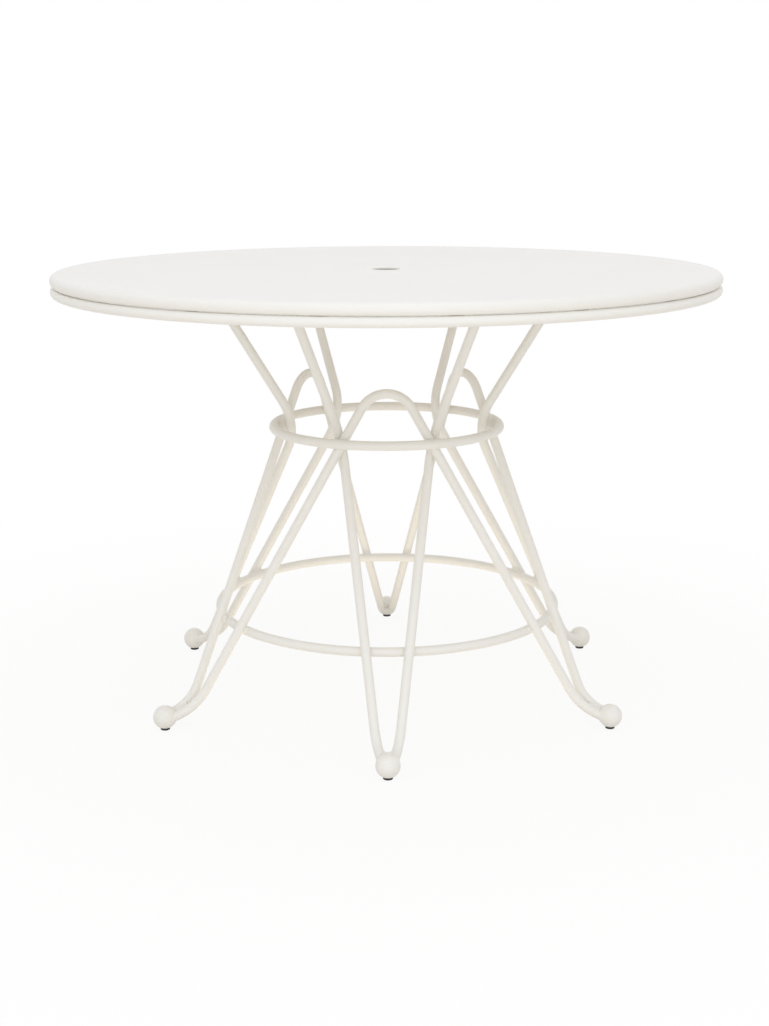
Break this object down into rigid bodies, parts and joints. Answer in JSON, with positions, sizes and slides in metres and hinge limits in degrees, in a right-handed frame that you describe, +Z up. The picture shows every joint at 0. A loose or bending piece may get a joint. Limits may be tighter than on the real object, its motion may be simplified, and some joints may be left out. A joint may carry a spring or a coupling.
{
  "type": "outdoor dining table",
  "caption": "Round outdoor dining table: rolled-edge metal top with an umbrella hole on an open cage of bent round bar, with hairpin arches, tie rings and ball feet on levelling glides.",
  "frame": {"origin": "on the floor, under the centre of the round top", "axes": "+Z up along the table's axis, -Y towards the front foot, +X to the right seen from the front"},
  "size_m": [1.1428, 1.143, 0.76],
  "materials": {
    "ivory_paint": "satin",
    "zinc_steel": "satin",
    "black_nylon": "matte"
  },
  "bodies": {
    "table": {"tabletop": "ivory_paint", "umbrella_sleeve": "ivory_paint", "rim_ring": "ivory_paint", "waist_ring": "ivory_paint", "lower_ring": "ivory_paint", "top_rib_1": "ivory_paint", "top_rib_2": "ivory_paint", "top_rib_3": "ivory_paint", "top_rib_4": "ivory_paint", "top_rib_5": "ivory_paint", "top_rib_6": "ivory_paint", "mount_plate_1": "ivory_paint", "mount_plate_2": "ivory_paint", "mount_plate_3": "ivory_paint", "mount_plate_4": "ivory_paint", "mount_plate_5": "ivory_paint", "mount_plate_6": "ivory_paint", "arch_1": "ivory_paint", "arch_2": "ivory_paint", "arch_3": "ivory_paint", "upright_1": "ivory_paint", "upright_2": "ivory_paint", "upright_3": "ivory_paint", "upright_4": "ivory_paint", "upright_5": "ivory_paint", "upright_6": "ivory_paint", "ball_foot_1": "ivory_paint", "ball_foot_2": "ivory_paint", "ball_foot_3": "ivory_paint", "ball_foot_4": "ivory_paint", "ball_foot_5": "ivory_paint", "ball_foot_6": "ivory_paint", "mount_screws": "zinc_steel", "rib_inserts": "zinc_steel"},
    "glide_1": {"glide_pad_1": "black_nylon", "glide_stud_1": "zinc_steel"},
    "glide_2": {"glide_pad_2": "black_nylon", "glide_stud_2": "zinc_steel"},
    "glide_3": {"glide_pad_3": "black_nylon", "glide_stud_3": "zinc_steel"},
    "glide_4": {"glide_pad_4": "black_nylon", "glide_stud_4": "zinc_steel"},
    "glide_5": {"glide_pad_5": "black_nylon", "glide_stud_5": "zinc_steel"},
    "glide_6": {"glide_pad_6": "black_nylon", "glide_stud_6": "zinc_steel"}
  },
  "joints": [
    {"name": "glide_1_screw", "type": "slide", "parent": "table", "child": "glide_1", "axis": [0, 0, -1], "range_m": [0, 0.008]},
    {"name": "glide_2_screw", "type": "slide", "parent": "table", "child": "glide_2", "axis": [0, 0, -1], "range_m": [0, 0.008]},
    {"name": "glide_3_screw", "type": "slide", "parent": "table", "child": "glide_3", "axis": [0, 0, -1], "range_m": [0, 0.008]},
    {"name": "glide_4_screw", "type": "slide", "parent": "table", "child": "glide_4", "axis": [0, 0, -1], "range_m": [0, 0.008]},
    {"name": "glide_5_screw", "type": "slide", "parent": "table", "child": "glide_5", "axis": [0, 0, -1], "range_m": [0, 0.008]},
    {"name": "glide_6_screw", "type": "slide", "parent": "table", "child": "glide_6", "axis": [0, 0, -1], "range_m": [0, 0.008]}
  ]
}
